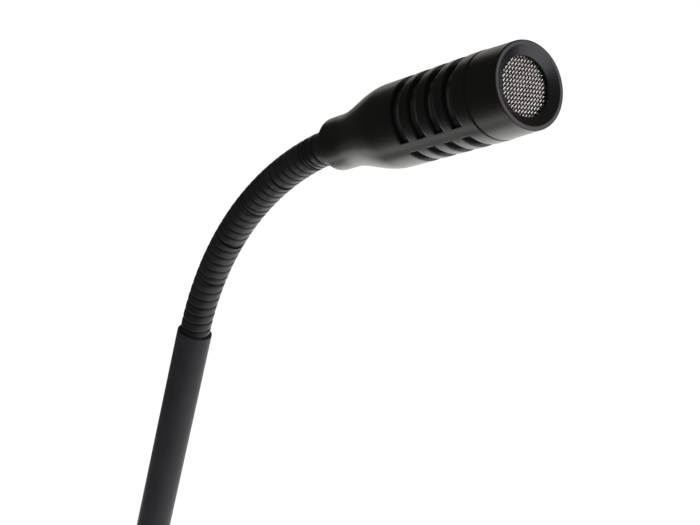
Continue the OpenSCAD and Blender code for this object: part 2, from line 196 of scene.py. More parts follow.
class Nodes:
    """A short way to write a material's node tree."""

    def __init__(self, name):
        self.material = bpy.data.materials.new(name)
        self.material.use_nodes = True
        self.tree = self.material.node_tree
        self.shader = self.tree.nodes["Principled BSDF"]

    def add(self, kind, **values):
        node = self.tree.nodes.new(kind)
        for key, value in values.items():
            setattr(node, key, value)
        return node

    def link(self, start, end):
        self.tree.links.new(start, end)

    def place(self, turn=0.0, stretch=(1, 1, 1)):
        """Object coordinates, turned about X and stretched."""
        where = self.add("ShaderNodeTexCoord")
        mapping = self.add("ShaderNodeMapping")
        mapping.inputs["Rotation"].default_value = (turn, 0, 0)
        mapping.inputs["Scale"].default_value = stretch
        self.link(where.outputs["Object"], mapping.inputs["Vector"])
        return mapping.outputs["Vector"]

    def noise(self, vector, scale, detail=3.0, roughness=0.5):
        node = self.add("ShaderNodeTexNoise")
        node.inputs["Scale"].default_value = scale
        node.inputs["Detail"].default_value = detail
        node.inputs["Roughness"].default_value = roughness
        self.link(vector, node.inputs["Vector"])
        return node.outputs["Fac"]

    def spread(self, value, low, high, start=0.3, end=0.7):
        node = self.add("ShaderNodeMapRange")
        node.inputs["From Min"].default_value = start
        node.inputs["From Max"].default_value = end
        node.inputs["To Min"].default_value = low
        node.inputs["To Max"].default_value = high
        self.link(value, node.inputs["Value"])
        return node.outputs["Result"]

    def two_tone(self, value, dark, light):
        node = self.add("ShaderNodeMix", data_type="RGBA")
        self.link(value, node.inputs["Factor"])
        node.inputs["A"].default_value = (*dark, 1)
        node.inputs["B"].default_value = (*light, 1)
        return node.outputs["Result"]

    def bump(self, height, distance, strength=1.0, under=None):
        node = self.add("ShaderNodeBump")
        node.inputs["Distance"].default_value = distance
        node.inputs["Strength"].default_value = strength
        self.link(height, node.inputs["Height"])
        if under is not None:
            self.link(under, node.inputs["Normal"])
        return node.outputs["Normal"]

    def finish(self, color, roughness, normal=None, **constants):
        self.link(color, self.shader.inputs["Base Color"])
        self.link(roughness, self.shader.inputs["Roughness"])
        if normal is not None:
            self.link(normal, self.shader.inputs["Normal"])
        for key, value in constants.items():
            self.shader.inputs[key.replace("_", " ")].default_value = value
        return self.material


def grained(
    name, dark, light, rough, grain_size, grain_depth, cloud=25.0, turn=0.0, stretch=(1, 1, 1), **constants
):
    """A finish with slow changes of tone and roughness and a fine raised grain."""
    n = Nodes(name)
    where = n.place(turn, stretch)
    slow = n.noise(where, cloud, 2.0)
    fine = n.noise(where, 1 / grain_size, 4.0, 0.6)
    color = n.two_tone(n.spread(slow, 0, 1), dark, light)
    tone = n.spread(slow, rough[0], rough[1])
    normal = n.bump(fine, grain_depth)
    return n.finish(color, tone, normal, **constants)


def turned_metal(name, dark, light, rough, turn, constants):
    """Bead-blasted and anodised, with faint marks of the lathe round the axis."""
    n = Nodes(name)
    plain = n.place()
    along = n.place(turn, (40, 40, 9000))
    cloud = n.noise(plain, 60, 3.0)
    lathe_marks = n.noise(along, 1.0, 2.0)
    blast = n.noise(plain, 9000, 2.0)
    color = n.two_tone(n.spread(cloud, 0, 1), dark, light)
    mixed = n.add("ShaderNodeMath", operation="MULTIPLY_ADD")
    n.link(lathe_marks, mixed.inputs[0])
    mixed.inputs[1].default_value = 0.35
    n.link(cloud, mixed.inputs[2])
    tone = n.spread(mixed.outputs["Value"], rough[0], rough[1], 0.4, 0.95)
    marks = n.bump(lathe_marks, 0.0006 * MM)
    normal = n.bump(blast, 0.0012 * MM, 1.0, marks)
    return n.finish(color, tone, normal, **constants)


def woven_cloth(name, dark, light, thread):
    """Fine technical cloth: crossed threads with fuzz."""
    n = Nodes(name)
    where = n.place(-HEAD_ANGLE)
    wave_a = n.add("ShaderNodeTexWave", bands_direction="X")
    wave_b = n.add("ShaderNodeTexWave", bands_direction="Z")
    for wave in (wave_a, wave_b):
        wave.inputs["Scale"].default_value = 0.05 / thread
        wave.inputs["Distortion"].default_value = 0.6
        n.link(where, wave.inputs["Vector"])
    both = n.add("ShaderNodeMath", operation="MULTIPLY")
    n.link(wave_a.outputs["Fac"], both.inputs[0])
    n.link(wave_b.outputs["Fac"], both.inputs[1])
    color = n.two_tone(both.outputs["Value"], dark, light)
    rough = n.spread(both.outputs["Value"], 0.95, 0.8, 0, 1)
    return n.finish(color, rough, n.bump(both.outputs["Value"], 0.1 * MM), Specular_IOR_Level=0.2)


def board_finish(name):
    """Solder resist with faint tracks under it."""
    n = Nodes(name)
    where = n.place()
    brick = n.add("ShaderNodeTexBrick")
    brick.inputs["Scale"].default_value = 260
    brick.inputs["Mortar Size"].default_value = 0.03
    brick.inputs["Color1"].default_value = (0.004, 0.055, 0.022, 1)
    brick.inputs["Color2"].default_value = (0.005, 0.065, 0.026, 1)
    brick.inputs["Mortar"].default_value = (0.02, 0.13, 0.05, 1)
    n.link(where, brick.inputs["Vector"])
    rough = n.spread(n.noise(where, 300), 0.25, 0.4)
    return n.finish(brick.outputs["Color"], rough, n.bump(brick.outputs["Fac"], 0.02 * MM))


def make_materials():
    anodised = dict(Metallic=0.0, IOR=1.5, Specular_IOR_Level=0.5)
    return {
        "black_anodised": turned_metal(
            "black_anodised", (0.0025, 0.0024, 0.0022), (0.0040, 0.0039, 0.0037), (0.30, 0.38),
            -HEAD_ANGLE, anodised
        ),
        "black_tube": turned_metal(
            "black_tube", (0.0095, 0.0098, 0.0118), (0.0130, 0.0134, 0.0160), (0.44, 0.54), 0.0,
            dict(Metallic=0.0, IOR=1.5, Specular_IOR_Level=0.2)
        ),
        "neck_winding": grained(
            "neck_winding", (0.0045, 0.0045, 0.0048), (0.0080, 0.0080, 0.0084), (0.34, 0.5),
            0.12 * MM, 0.006 * MM, 90.0,
            Specular_IOR_Level=0.3
        ),
        "steel_mesh": grained(
            "steel_mesh", (0.50, 0.47, 0.43), (0.68, 0.645, 0.60), (0.22, 0.34), 0.05 * MM, 0.002 * MM, 400.0,
            Metallic=1.0
        ),
        "black_plastic": grained(
            "black_plastic", (0.010, 0.010, 0.011), (0.016, 0.016, 0.017), (0.45, 0.6), 0.1 * MM, 0.008 * MM
        ),
        "black_foam": grained(
            "black_foam", (0.003, 0.003, 0.003), (0.010, 0.010, 0.010), (0.9, 1.0), 0.25 * MM,
            0.15 * MM, 1500.0,
            Specular_IOR_Level=0.15
        ),
        "liner_cloth": woven_cloth(
            "liner_cloth", (0.0060, 0.0058, 0.0055), (0.0220, 0.0214, 0.0205), 0.25 * MM
        ),
        "capsule_can": grained(
            "capsule_can", (0.6, 0.6, 0.61), (0.75, 0.75, 0.76), (0.25, 0.4), 0.06 * MM, 0.003 * MM,
            Metallic=1.0
        ),
        "black_rubber": grained(
            "black_rubber", (0.010, 0.010, 0.010), (0.018, 0.018, 0.018), (0.65, 0.85), 0.2 * MM, 0.02 * MM
        ),
        "lead_wire": grained(
            "lead_wire", (0.28, 0.012, 0.010), (0.36, 0.02, 0.015), (0.35, 0.5), 0.1 * MM, 0.004 * MM
        ),
        "circuit_board": board_finish("circuit_board"),
        "component_plastic": grained(
            "component_plastic", (0.014, 0.014, 0.015), (0.022, 0.022, 0.023), (0.4, 0.6),
            0.08 * MM, 0.006 * MM
        ),
        "brass": grained(
            "brass", (0.50, 0.33, 0.10), (0.62, 0.43, 0.16), (0.25, 0.4), 0.08 * MM, 0.004 * MM, Metallic=1.0
        ),
        "cable_jacket": grained(
            "cable_jacket", (0.012, 0.012, 0.012), (0.02, 0.02, 0.02), (0.5, 0.65), 0.2 * MM, 0.01 * MM
        ),
        "plain_steel": grained(
            "plain_steel", (0.45, 0.46, 0.47), (0.6, 0.6, 0.62), (0.25, 0.4), 0.08 * MM, 0.004 * MM,
            Metallic=1.0
        ),
        "base_plastic": grained(
            "base_plastic", (0.010, 0.010, 0.0115), (0.015, 0.015, 0.0165), (0.46, 0.56), 0.28 * MM,
            0.03 * MM, 18.0
        ),
        "plate_steel": grained(
            "plate_steel", (0.018, 0.018, 0.02), (0.028, 0.028, 0.03), (0.4, 0.55), 0.3 * MM, 0.02 * MM
        ),
        "cast_ballast": grained(
            "cast_ballast", (0.06, 0.06, 0.065), (0.12, 0.12, 0.125), (0.6, 0.8), 0.6 * MM,
            0.1 * MM, Metallic=0.6
        ),
        "connector_nylon": grained(
            "connector_nylon", (0.55, 0.52, 0.42), (0.62, 0.6, 0.5), (0.4, 0.5), 0.1 * MM, 0.005 * MM
        ),
        "button_plastic": grained(
            "button_plastic", (0.020, 0.021, 0.024), (0.028, 0.029, 0.033), (0.38, 0.5), 0.12 * MM, 0.008 * MM
        ),
        "led_red": grained(
            "led_red", (0.30, 0.006, 0.006), (0.42, 0.012, 0.010), (0.08, 0.16), 0.3 * MM, 0.003 * MM,
            Emission_Color=(1, 0.05, 0.03, 1), Emission_Strength=0.25
        ),
        "nickel_nut": grained(
            "nickel_nut", (0.55, 0.55, 0.56), (0.68, 0.68, 0.69), (0.14, 0.24), 0.1 * MM,
            0.003 * MM, Metallic=1.0
        ),
    }


MATERIALS = make_materials()


def dress_cad_nodes():
    """Every CAD node takes the material of its slot."""
    for row in frame["record"]["subparts"]:
        mesh = frame["nodes"][row["node"]].data
        mesh.materials.clear()
        mesh.materials.append(MATERIALS[row["material_slot"]])


# ---- mesh tools ----

SMOOTH_ANGLE = math.radians(38)


def finish_mesh(bm, name, material, matrix=None, smooth=True):
    """Makes an object of a bmesh, with smooth faces, sharp edges where they turn and even shading."""
    bmesh.ops.remove_doubles(bm, verts=bm.verts, dist=1e-7)
    bmesh.ops.recalc_face_normals(bm, faces=bm.faces)
    mesh = bpy.data.meshes.new(name)
    bm.to_mesh(mesh)
    bm.free()
    if matrix is not None:
        mesh.transform(matrix)
    mesh.materials.append(MATERIALS[material])
    piece = bpy.data.objects.new(name, mesh)
    bpy.context.scene.collection.objects.link(piece)
    if smooth:
        mesh.shade_smooth()
        mesh.set_sharp_from_angle(angle=SMOOTH_ANGLE)
        weighted = piece.modifiers.new("even_shading", "WEIGHTED_NORMAL")
        weighted.keep_sharp = True
    return piece


def rounded(corners, steps=4):
    """A closed outline of (r, z, fillet) corners, with each fillet as an arc."""
    points = []
    count = len(corners)
    for i, (r, z, fillet) in enumerate(corners):
        here = Vector((r, z))
        if fillet <= 0:
            points.append(here)
            continue
        before = (Vector(corners[i - 1][:2]) - here).normalized()
        after = (Vector(corners[(i + 1) % count][:2]) - here).normalized()
        half = before.angle(after) / 2
        reach = fillet / math.tan(half)
        centre = here + (before + after).normalized() * (fillet / math.sin(half))
        first = here + before * reach - centre
        last = here + after * reach - centre
        sweep = first.angle_signed(last)
        for k in range(steps + 1):
            turn = Matrix.Rotation(-sweep * k / steps, 2)
            points.append(centre + turn @ first)
    return points


def ring_faces(bm, rings, closed=False):
    """Quads between rings of vertices that are closed round; closed joins the last ring to the first."""
    pairs = list(zip(rings, rings[1:]))
    if closed:
        pairs.append((rings[-1], rings[0]))
    for low, high in pairs:
        count = len(low)
        for j in range(count):
            k = (j + 1) % count
            bm.faces.new((low[j], low[k], high[k], high[j]))


def add_lathe(bm, outline, segments=96, closed=True, matrix=None):
    """Adds the solid of a closed (r, z) outline turned about Z."""
    rings = []
    for r, z in outline:
        ring = []
        for j in range(segments):
            turn = 2 * math.pi * j / segments
            place = Vector((r * math.cos(turn), r * math.sin(turn), z))
            ring.append(bm.verts.new(matrix @ place if matrix is not None else place))
        rings.append(ring)
    ring_faces(bm, rings, closed)


def lathe(name, corners, material, matrix=None, segments=128):
    bm = bmesh.new()
    add_lathe(bm, rounded(corners), segments)
    return finish_mesh(bm, name, material, matrix)


def add_sweep(bm, points, radius, sides, normals=None):
    """Adds a closed tube along points. normals are directions across it, one for each point."""
    rings = []
    last = len(points) - 1
    for i, point in enumerate(points):
        way = (points[min(i + 1, last)] - points[max(i - 1, 0)]).normalized()
        across = normals[i] if normals else X_AXIS - way * way.dot(X_AXIS)
        across = (across - way * across.dot(way)).normalized()
        other = way.cross(across)
        ring = []
        for j in range(sides):
            turn = 2 * math.pi * j / sides
            offset = across * math.cos(turn) + other * math.sin(turn)
            ring.append(bm.verts.new(point + offset * radius))
        rings.append(ring)
    ring_faces(bm, rings)
    bm.faces.new(rings[0])
    bm.faces.new(rings[-1])


def cut(piece, cutters):
    """Cuts closed cutter objects out of a piece and removes them."""
    for cutter in cutters:
        modifier = piece.modifiers.new("cut", "BOOLEAN")
        modifier.operation = "DIFFERENCE"
        modifier.solver = "EXACT"
        modifier.object = cutter
    bpy.context.view_layer.update()
    evaluated = piece.evaluated_get(bpy.context.evaluated_depsgraph_get())
    mesh = bpy.data.meshes.new_from_object(evaluated)
    piece.modifiers.clear()
    piece.data = mesh
    for cutter in cutters:
        bpy.data.objects.remove(cutter)


# ---- head ----


def head_radius(q):
    """Outside radius of the head at the length q, from the collar to the barrel."""
    share = min(max((q - FLARE_START) / (FLARE_END - FLARE_START), 0), 1)
    return COLLAR_R + (BARREL_R - COLLAR_R) * share * share * (3 - 2 * share)


def slot_edges():
    """Lengths along the head where slots begin and end."""
    rows = [SLOT_FIRST + i * SLOT_PITCH for i in range(SLOT_ROWS)]
    return [(middle - SLOT_WIDTH / 2, middle + SLOT_WIDTH / 2) for middle in rows]


def housing_angles():
    """Angles of the housing's mesh columns, with a column at each end of each slot."""
    sectors = []
    for side in (0, 180):
        land_end = LAND_MIDDLE + LAND_ANGLE / 2 + side
        slot_end = land_end + 180 - LAND_ANGLE
        sectors.append((land_end, slot_end, 82, True))
        sectors.append((slot_end, slot_end + LAND_ANGLE, 9, False))
    angles = []
    slotted = []
    for start, end, count, is_slot in sectors:
        for i in range(count):
            angles.append(math.radians(start + (end - start) * i / count))
            slotted.append(is_slot)
    return angles, slotted


def housing_rows():
    """(length, in a slot) of the housing's mesh rows over the barrel."""
    edges = slot_edges()
    lengths = [FLARE_END + 1 * MM, edges[0][0] - 2 * MM]
    for low, high in edges:
        lengths += [low - 0.6 * MM, low, (low + high) / 2, high, high + 0.6 * MM]
    lengths += [CAP_START - 2 * MM]
    return [(q, any(low <= q < high - 1e-6 for low, high in edges)) for q in lengths]


def make_housing():
    bm = bmesh.new()
    angles, slotted = housing_angles()
    columns = len(angles)
    rear = [(REAR_BORE_R, REAR_FACE + 0.12 * MM), (REAR_BORE_R + 0.12 * MM, REAR_FACE)]
    steps = 10
    for i in range(steps + 1):
        turn = math.pi / 2 * i / steps
        rear.append(
            (
                COLLAR_R - SHOULDER_ROUND * (1 - math.sin(turn)),
                REAR_FACE + SHOULDER_ROUND * (1 - math.cos(turn)),
            )
        )
    rear += [(head_radius(q), q) for q in (8 * MM, FLARE_START - 1 * MM)]
    steps = 36
    flare_places = (FLARE_START + (FLARE_END - FLARE_START) * i / steps for i in range(steps + 1))
    rear += [(head_radius(q), q) for q in flare_places]
    rows = housing_rows()
    groove = 0.3 * MM
    front = [
        (BARREL_R, CAP_START - groove - 0.08 * MM), (BARREL_R - 0.05 * MM, CAP_START - groove + 0.03 * MM),
        (BARREL_R - groove, CAP_START), (BARREL_BORE_R, CAP_START),
    ]
    inside = [(BARREL_BORE_R, FLARE_END), (FERRULE_R, FERRULE_LENGTH + 3 * MM)]
    inside += [(FERRULE_R, REAR_FACE + REAR_LIP), (REAR_BORE_R, REAR_FACE + REAR_LIP)]

    def ring(r, q):
        return [bm.verts.new((r * math.cos(a), r * math.sin(a), q)) for a in angles]

    outer = [ring(BARREL_R, q) for q, _ in rows]
    inner = [ring(BARREL_BORE_R, q) for q, _ in rows]
    open_rows = [is_slot for _, is_slot in rows]
    ring_faces(bm, [ring(r, q) for r, q in rear] + [outer[0]])
    ring_faces(bm, [outer[-1]] + [ring(r, q) for r, q in front] + [inner[-1]])
    ring_faces(bm, [inner[0]] + [ring(r, q) for r, q in inside] + [ring(*rear[0])])
    mouth_edges = []

    def missing(i, j):
        return 0 <= i < len(rows) - 1 and open_rows[i] and slotted[j % columns]

    for i in range(len(rows) - 1):
        for j in range(columns):
            k = (j + 1) % columns
            if missing(i, j):
                continue
            bm.faces.new((outer[i][j], outer[i][k], outer[i + 1][k], outer[i + 1][j]))
            bm.faces.new((inner[i][j], inner[i + 1][j], inner[i + 1][k], inner[i][k]))
    for i in range(len(rows)):
        for j in range(columns):
            k = (j + 1) % columns
            if i < len(rows) - 1 and missing(i, j) != missing(i, j - 1):
                bm.faces.new((outer[i][j], outer[i + 1][j], inner[i + 1][j], inner[i][j]))
                mouth_edges.append((outer[i][j], outer[i + 1][j]))
            if missing(i, j) != missing(i - 1, j):
                bm.faces.new((outer[i][j], outer[i][k], inner[i][k], inner[i][j]))
                mouth_edges.append((outer[i][j], outer[i][k]))
    edges = [bm.edges.get(pair) for pair in mouth_edges]
    bmesh.ops.recalc_face_normals(bm, faces=bm.faces)
    bmesh.ops.bevel(bm, geom=edges, offset=0.13 * MM, segments=2, profile=0.5, affect="EDGES")
    piece = finish_mesh(bm, "head_housing_shell", "black_anodised", HEAD)
    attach(piece, "head")
    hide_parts("head_housing")


def make_cap():
    lip = CAP_LENGTH - MESH_DEPTH
    rear_r = BARREL_R - 0.1 * MM
    corners = [
        (CAP_BORE_R, -SPIGOT, 0.1 * MM), (BARREL_BORE_R, -SPIGOT, 0.2 * MM), (BARREL_BORE_R, 0, 0),
        (rear_r - 0.3 * MM, 0, 0), (rear_r, 0.3 * MM, 0.12 * MM), (RIM_R + 0.02 * MM, CAP_LENGTH, 0.3 * MM),
        (RIM_R - 0.9 * MM, CAP_LENGTH, 0.12 * MM), (MOUTH_R, CAP_LENGTH - CONE_DEPTH, 0.12 * MM),
        (MOUTH_R, lip, 0), (CAP_BORE_R, lip, 0),
    ]
    matrix = HEAD @ Matrix.Translation((0, 0, CAP_START))
    piece = lathe("front_cap_shell", corners, "black_anodised", matrix, 192)
    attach(piece, "head")
    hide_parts("front_cap")


WIRE_TURN = math.radians(40)
MESH_DOME = 0.25 * MM


def make_mesh():
    """Plain weave: two crossed sets of wires that pass over and under each other."""
    bm = bmesh.new()
    radius = CAP_BORE_R - 0.3 * MM
    count = int(radius / MESH_PITCH)
    step = MESH_PITCH / 6
    middle = HEAD_LENGTH - MESH_DEPTH - MESH_THICKNESS / 2 - 0.05 * MM
    for family in (0, 1):
        turn = Matrix.Rotation(WIRE_TURN + family * math.pi / 2, 3, "Z")
        for i in range(-count, count + 1):
            across = i * MESH_PITCH
            half = math.sqrt(radius**2 - across**2)
            side = 1 if (i + family) % 2 else -1
            points = []
            for k in range(-int(half / step), int(half / step) + 1):
                along = k * step
                wave = side * math.cos(math.pi * along / MESH_PITCH)
                dome = MESH_DOME * (1 - (along**2 + across**2) / radius**2)
                height = middle - MESH_DOME / 2 + dome + wave * WIRE_R * 0.95
                points.append(turn @ Vector((along, across, 0)) + Vector((0, 0, height)))
            add_sweep(bm, points, WIRE_R, 6, [turn @ Vector((0, 1, 0))] * len(points))
    piece = finish_mesh(bm, "front_wire_mesh", "steel_mesh", HEAD)
    piece.modifiers.clear()
    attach(piece, "head")
    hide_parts("front_mesh")


def make_foam():
    """Open-cell foam behind the wire mesh, with a lumpy face."""
    bm = bmesh.new()
    low, high = 4.6 * MM, 0.35 * MM
    top = HEAD_LENGTH - MESH_DEPTH - MESH_THICKNESS - 0.8 * MM
    rim = CAP_BORE_R - 0.1 * MM
    outline = [
        (0, top - low), (rim - 0.2 * MM, top - low), (rim, top - low + 0.2 * MM), (rim, top - 0.2 * MM),
    ]
    steps = 14
    outline += [(rim * (1 - i / steps), top) for i in range(1, steps + 1)]
    add_lathe(bm, outline, 72, closed=False)
    bmesh.ops.remove_doubles(bm, verts=bm.verts, dist=1e-7)
    for v in bm.verts:
        if v.co.z > top - 0.1 * MM:
            lump = math.sin(v.co.x * 5200) * math.cos(v.co.y * 4700)
            lump += 0.6 * math.sin((v.co.x + v.co.y) * 9100)
            v.co.z = top - high / 2 + high / 4 * lump
    piece = finish_mesh(bm, "foam_disc_soft", "black_foam", HEAD)
    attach(piece, "head")
    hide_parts("foam_disc")


def make_liner():
    """The black cloth sleeve behind the slots."""
    start = SLOT_FIRST - SLOT_WIDTH - 1 * MM
    end = CAP_START - SPIGOT
    outer = BARREL_BORE_R - 0.02 * MM
    corners = [(outer, start, 0), (outer, end, 0), (outer - 0.35 * MM, end, 0), (outer - 0.35 * MM, start, 0)]
    bm = bmesh.new()
    add_lathe(bm, rounded(corners), 160)
    piece = finish_mesh(bm, "acoustic_liner_cloth", "liner_cloth", HEAD)
    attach(piece, "head")
    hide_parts("acoustic_liner")


# ---- neck ----

ROWS_PER_TURN = 22
COLUMNS = 72
GROOVE_DEPTH = 0.5 * MM
CROWN_POWER = 7


def winding_radius(s, turn):
    """Outside radius of the right-handed winding at the length s and the angle turn, in turns."""
    across = (s / WINDING_PITCH - turn) % 1.0
    return NECK_R - GROOVE_DEPTH * abs(2 * across - 1) ** CROWN_POWER


def winding_mesh(name, start, end, line, low_cut=0.0, high_cut=0.0):
    """A closed stretch of the winding along line(s), which gives a point and a tilt. A cut is the slope by
    which an end falls back, above and below the X axis, so that a pitch joint has room to bend."""

    def place(turn, radius, share):
        back = radius * abs(math.sin(2 * math.pi * turn)) + SIDE_ROOM
        low, high = start + low_cut * back, end - high_cut * back
        return low + (high - low) * share

    def ring_point(s, turn, radius):
        point, tilt = line(s)
        up = Vector((0, math.cos(tilt), math.sin(tilt)))
        return point + (X_AXIS * math.cos(2 * math.pi * turn) + up * math.sin(2 * math.pi * turn)) * radius

    bm = bmesh.new()
    rows = max(2, round((end - start) / WINDING_PITCH * ROWS_PER_TURN))
    turns = [j / COLUMNS for j in range(COLUMNS)]
    rings = []
    for i in range(rows + 1):
        places = [place(turn, NECK_R, i / rows) for turn in turns]
        rings.append([bm.verts.new(ring_point(s, t, winding_radius(s, t))) for s, t in zip(places, turns)])
    for i in range(9):
        places = [place(turn, NECK_BORE_R, 1 - i / 8) for turn in turns]
        rings.append([bm.verts.new(ring_point(s, t, NECK_BORE_R)) for s, t in zip(places, turns)])
    ring_faces(bm, rings, closed=True)
    piece = finish_mesh(bm, name, "neck_winding")
    piece.modifiers.clear()
    return piece


def neck_line(s):
    return neck_point(s), neck_angle(s)


def head_line(s):
    """The neck's line inside the head, which is the head's own axis."""
    return HEAD @ Vector((0, 0, s - NECK_LENGTH)), HEAD_ANGLE


def cable_piece(name, points):
    bm = bmesh.new()
    add_sweep(bm, points, CABLE_R, 16)
    piece = finish_mesh(bm, name, "cable_jacket")
    piece.modifiers.clear()
    return piece


def joint_ball(k, place):
    """A ball inside the winding at a split joint, seen where the turns open on the outer side of a bend."""
    heights = [BALL_HALF_LENGTH * (i / 4 - 1) for i in range(9)]
    corners = [(BALL_BORE_R, -BALL_HALF_LENGTH, 0)] + [(math.sqrt(BALL_R**2 - z * z), z, 0) for z in heights]
    corners.append((BALL_BORE_R, BALL_HALF_LENGTH, 0))
    point, tilt = neck_line(place)
    matrix = Matrix.Translation(point) @ Matrix.Rotation(tilt, 4, "X")
    piece = lathe(f"neck_joint_ball_{k:02d}", corners, "neck_winding", matrix, 48)
    return piece


def neck_stretch(suffix, start, end, low_cut=0.0, high_cut=0.0):
    """The winding and the cable from start to end, cut back at a split joint."""
    back = CABLE_R + SIDE_ROOM
    low, high = start + low_cut * back, end - high_cut * back
    points = [neck_point(low + (high - low) * i / 8) for i in range(9)]
    winding = winding_mesh(f"neck_winding_{suffix}", start, end, neck_line, low_cut, high_cut)
    return winding, cable_piece(f"signal_cable_neck_{suffix}", points)


def make_neck():
    """The first joint and the side joints bend the winding smoothly. The other pitch joints are split at
    the axis, with a ball inside. Their axis stays along X, so a blend can't place its turning centre once
    both bodies turn."""
    bodies = ["stand"] + [f"neck_{k}" for k in range(1, NECK_JOINTS)] + ["head"]
    step = NECK_LENGTH / NECK_JOINTS
    for k in range(1, NECK_JOINTS + 1):
        start, joint, end = ((k - i) * step for i in (1, 0.5, 0))
        below, above = bodies[k - 1], bodies[k]
        if k == 1 or k % 2 == 0:
            winding, cable = neck_stretch(f"{k:02d}", start, end)
            for piece in (winding, cable):
                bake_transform(piece)
        else:
            for piece in neck_stretch(f"{k:02d}_low", start, joint, high_cut=JOINT_CUT):
                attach(piece, below)
            winding, cable = neck_stretch(f"{k:02d}_high", joint, end, low_cut=JOINT_CUT)
            for piece in (winding, cable, joint_ball(k, joint)):
                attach(piece, above)
        if k < NECK_JOINTS:
            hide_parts(f"neck_section_{k:02d}")
    root = winding_mesh("neck_winding_root", -6 * MM, 0, neck_line)
    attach(root, "stand")
    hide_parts("neck_root")
    tip = winding_mesh("neck_winding_tip", NECK_LENGTH, NECK_LENGTH + REAR_FACE + REAR_LIP, head_line)
    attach(tip, "head")
    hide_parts("neck_end")


def make_crimps():
    """The smooth ends of the neck, crimped in the tube's socket and in the head's ferrule."""
    crimp_r = 3.6 * MM
    places = (
        ("neck_crimp_low", Matrix.Translation((0, 0, TUBE_TOP)), -20 * MM, -6 * MM, "stand"),
        ("neck_crimp_high", HEAD, REAR_FACE + REAR_LIP, 11 * MM, "head"),
    )
    for name, matrix, low, high, body in places:
        corners = [
            (NECK_BORE_R, low, 0), (crimp_r, low, 0.3 * MM), (crimp_r, high, 0), (NECK_BORE_R, high, 0)
        ]
        piece = lathe(name, corners, "neck_winding", matrix, 48)
        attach(piece, body)


def make_cable_ends():
    connector_face = -10.5 * MM
    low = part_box("control_board")[0].z + 0.6 * MM
    turn_r = 4 * MM
    points = [Vector((0, connector_face, low)), Vector((0, -turn_r - 2 * MM, low))]
    for i in range(9):
        a = math.pi / 2 * i / 8
        points.append(Vector((0, -turn_r * (1 - math.sin(a)), low + turn_r * (1 - math.cos(a)))))
    points += [Vector((0, 0, TUBE_TOP * i / 4)) for i in (1, 2, 3)] + [Vector((0, 0, TUBE_TOP))]
    base = cable_piece("signal_cable_base", points)
    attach(base, "stand")
    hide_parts("signal_cable")
    points = [HEAD @ Vector((0, 0, q * MM)) for q in (0, 5, 10, 16, 21.8)]
    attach(cable_piece("signal_cable_head", points), "head")


# ---- stand tube ----


def make_tube():
    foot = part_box("stem_tube")[0].z
    corners = [
        (TUBE_BORE_R, foot, 0.1 * MM), (TUBE_R, foot, 0.2 * MM), (TUBE_R, TUBE_TOP, 0.28 * MM),
        (TUBE_BORE_R, TUBE_TOP, 0.12 * MM),
    ]
    piece = lathe("stem_tube_wall", corners, "black_tube", None, 128)
    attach(piece, "stand")
    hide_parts("stem_tube")


def make_collar():
    low, high = (corner.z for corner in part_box("stem_collar"))
    corners = [
        (TUBE_R, low, 0), (11 * MM, low, 0.2 * MM), (11 * MM, low + 2.5 * MM, 0.5 * MM),
        (8.4 * MM, low + 3.7 * MM, 1.6 * MM), (7.0 * MM, low + 6.4 * MM, 1.2 * MM),
        (6.9 * MM, high, 0.6 * MM), (TUBE_R + 0.05 * MM, high, 0.15 * MM),
    ]
    piece = lathe("stem_collar_turned", corners, "black_anodised", None, 128)
    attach(piece, "stand")
    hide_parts("stem_collar")


# ---- base ----

BASE_CORNER = 14 * MM
BASE_WALL = 2.5 * MM
SLAB_TOP = 8 * MM
EDGE_IN = 10 * MM
EDGE_R = 8 * MM
FRONT_EDGE_Z = 16 * MM
REAR_EDGE_Z = 26 * MM
BUTTON_Y = -42 * MM
BUTTON_BOSS_TOP = 27.4 * MM
STEM_BOSS_TOP = 32 * MM
JACK = Vector((24, 56.4, 15)) * MM


def base_ring(bm, side, inset, radius, height):
    """One closed ring of the base's loft: a rectangle with arcs at its corners, over a sloping line."""
    low, high = side
    ring = []
    arc_steps, side_steps = 14, 10
    centres = [
        (high.x - inset, high.y - inset), (low.x + inset, high.y - inset),
        (low.x + inset, low.y + inset), (high.x - inset, low.y + inset),
    ]
    points = []
    for corner, (cx, cy) in enumerate(centres):
        for i in range(arc_steps + 1):
            a = math.pi / 2 * (corner + i / arc_steps)
            points.append((cx + radius * math.cos(a), cy + radius * math.sin(a), cy))
        nx, ny = centres[(corner + 1) % 4]
        out = Vector((math.cos(math.pi / 2 * (corner + 1)), math.sin(math.pi / 2 * (corner + 1)))) * radius
        for i in range(1, side_steps):
            t = i / side_steps
            y = cy + (ny - cy) * t
            points.append((cx + (nx - cx) * t + out.x, y + out.y, y))
    for x, y, line_y in points:
        ring.append(bm.verts.new((x, y, height(line_y))))
    return ring


